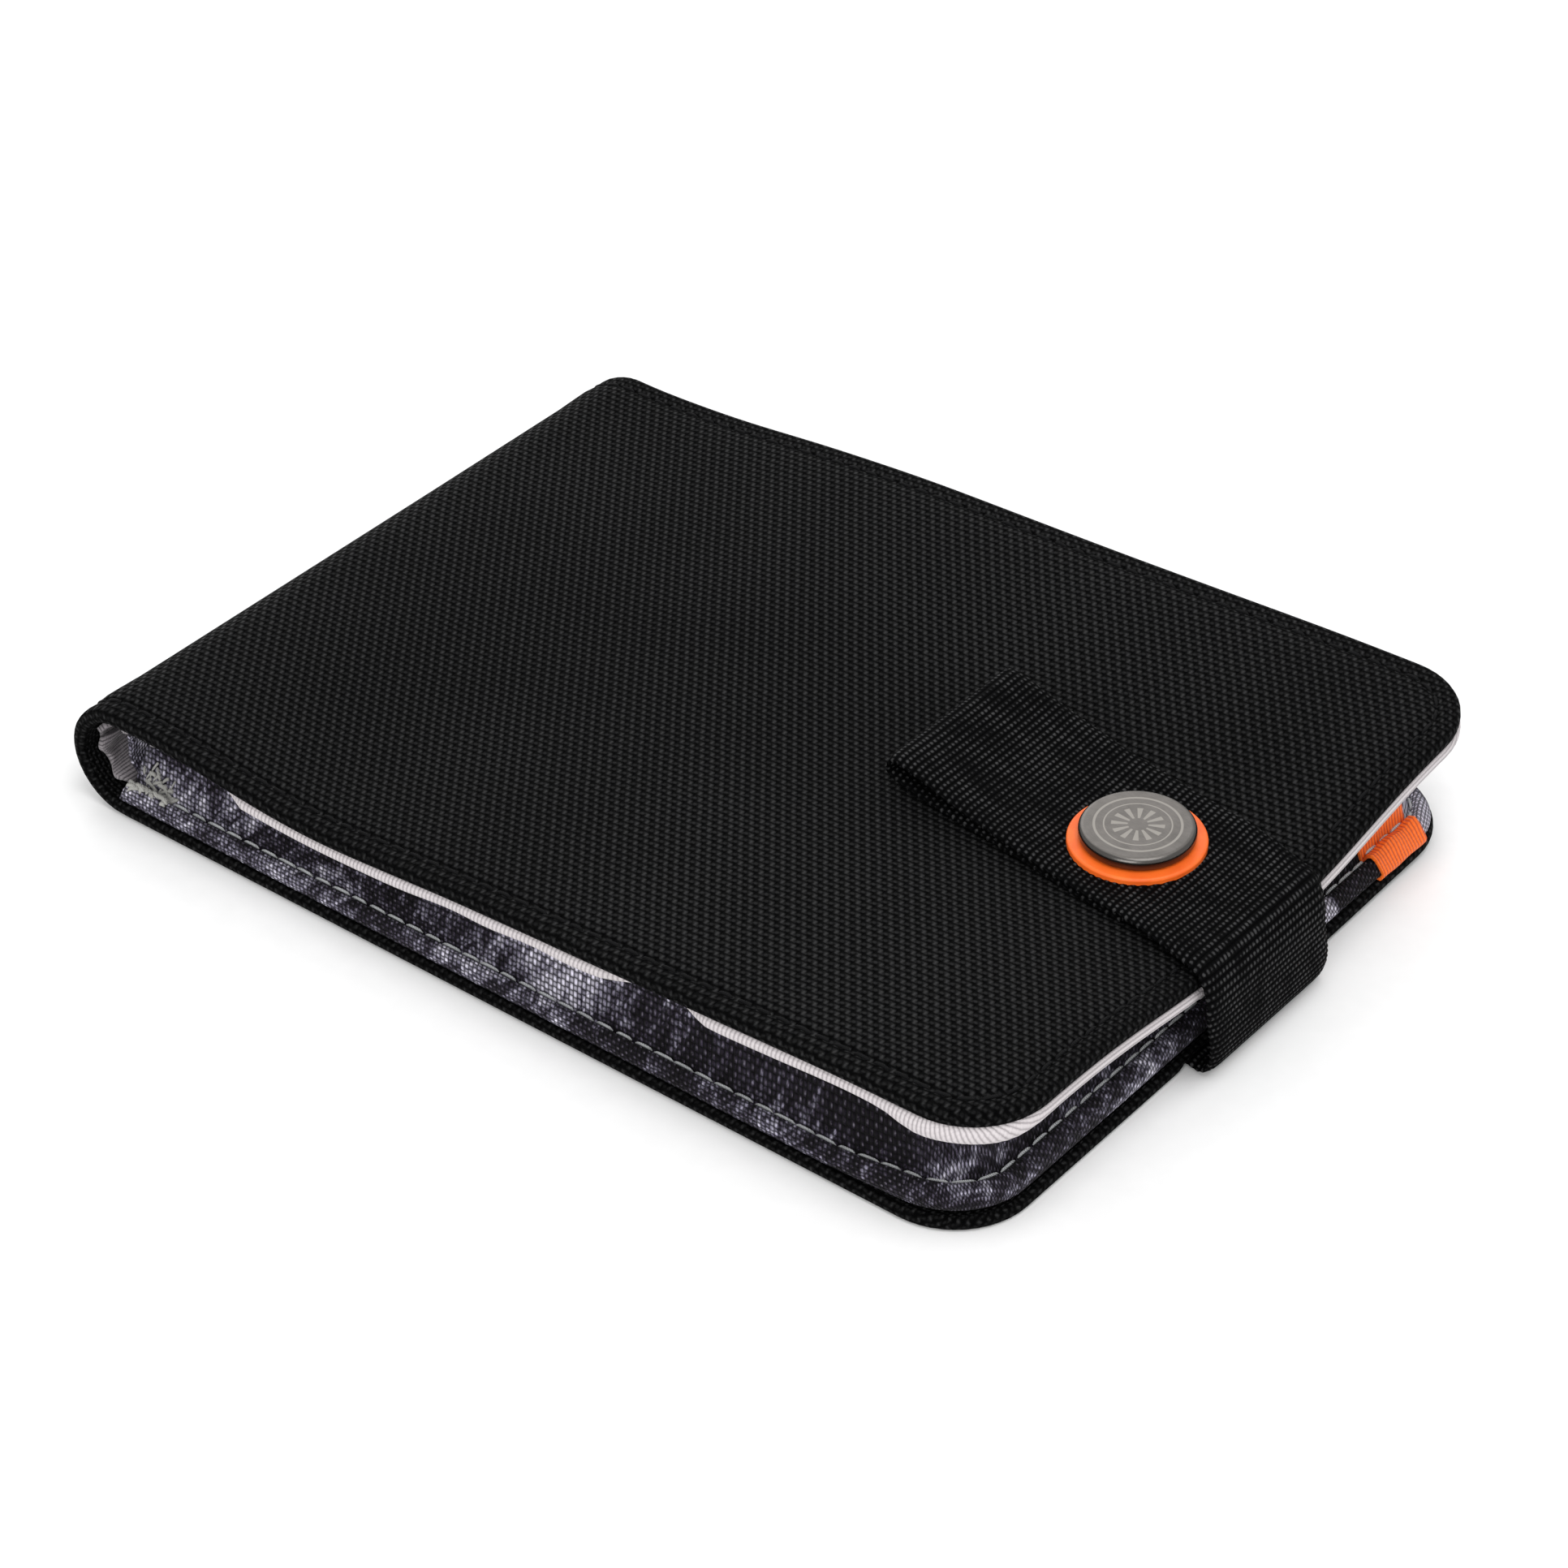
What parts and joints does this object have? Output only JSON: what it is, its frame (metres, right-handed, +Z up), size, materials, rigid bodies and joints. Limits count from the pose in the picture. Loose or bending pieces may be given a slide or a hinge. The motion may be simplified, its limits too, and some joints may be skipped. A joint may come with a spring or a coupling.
{
  "type": "passport wallet",
  "caption": "Bi-fold fabric passport wallet with stepped inner pockets, closed by a webbing strap round the opening edge with a press snap.",
  "frame": {"origin": "middle of the footprint, at the level of the surface that the closed wallet lies on", "axes": "+X from the folded spine to the opening edge, +Z up through both covers, +Y towards the long edge that the orange ribbon is near"},
  "size_m": [0.15, 0.106, 0.021],
  "materials": {
    "cover_fabric": "coarse plain-woven black nylon",
    "stiffener_board": "thin sheet",
    "printed_lining": "fine twill with a mottled print",
    "grey_lining": "light grey ribbed lining",
    "webbing": "black ribbed webbing",
    "grey_thread": "thick twisted thread",
    "orange_ribbon": "ribbed ribbon",
    "orange_rubber": "satin moulded ring",
    "snap_metal": "dark satin plating"
  },
  "bodies": {
    "bottom_cover": {"bottom_shell": "cover_fabric", "bottom_hem": "cover_fabric", "bottom_stiffener": "stiffener_board", "bottom_lining": "printed_lining", "pouch_base": "printed_lining", "pouch_gussets": "printed_lining", "pouch_top": "printed_lining", "pouch_piping": "printed_lining", "card_pocket_lower": "printed_lining", "card_pocket_middle": "printed_lining", "card_pocket_upper": "printed_lining", "ribbon_tab": "orange_ribbon", "bartacks": "grey_thread", "strap_anchor": "webbing"},
    "spine": {"spine_shell": "cover_fabric", "spine_lining": "grey_lining", "spine_inner_wall": "printed_lining"},
    "top_cover": {"top_shell": "cover_fabric", "top_hem": "cover_fabric", "top_stiffener": "stiffener_board", "top_lining": "stiffener_board", "top_panel": "grey_lining", "top_slip_pocket": "printed_lining", "snap_stud": "snap_metal", "stud_rivet": "snap_metal"},
    "strap_riser": {"strap_riser": "webbing"},
    "strap_tab": {"strap_tab_upper": "webbing", "strap_tab_lower": "webbing", "strap_end_fold": "webbing", "snap_cap": "snap_metal", "snap_ring": "orange_rubber", "snap_socket": "snap_metal", "snap_spring": "snap_metal"}
  },
  "joints": [
    {"name": "spine_fold", "type": "hinge", "parent": "bottom_cover", "child": "spine", "pos_m": [-0.07328, 0, 0.00172], "axis": [0, -1, 0], "range_deg": [0, 88]},
    {"name": "cover_fold", "type": "hinge", "parent": "spine", "child": "top_cover", "pos_m": [-0.07328, 0, 0.01428], "axis": [0, -1, 0], "range_deg": [0, 88]},
    {"name": "strap_fold", "type": "hinge", "parent": "bottom_cover", "child": "strap_riser", "pos_m": [0.07414, 0, 0.00086], "axis": [0, 1, 0], "range_deg": [0, 85]},
    {"name": "tab_fold", "type": "hinge", "parent": "strap_riser", "child": "strap_tab", "pos_m": [0.07414, 0, 0.01734], "axis": [0, 1, 0], "range_deg": [0, 85]}
  ],
  "couplings": [
    {"joint": "cover_fold", "follows": "spine_fold", "ratio": 1},
    {"joint": "tab_fold", "follows": "strap_fold", "ratio": 1}
  ]
}
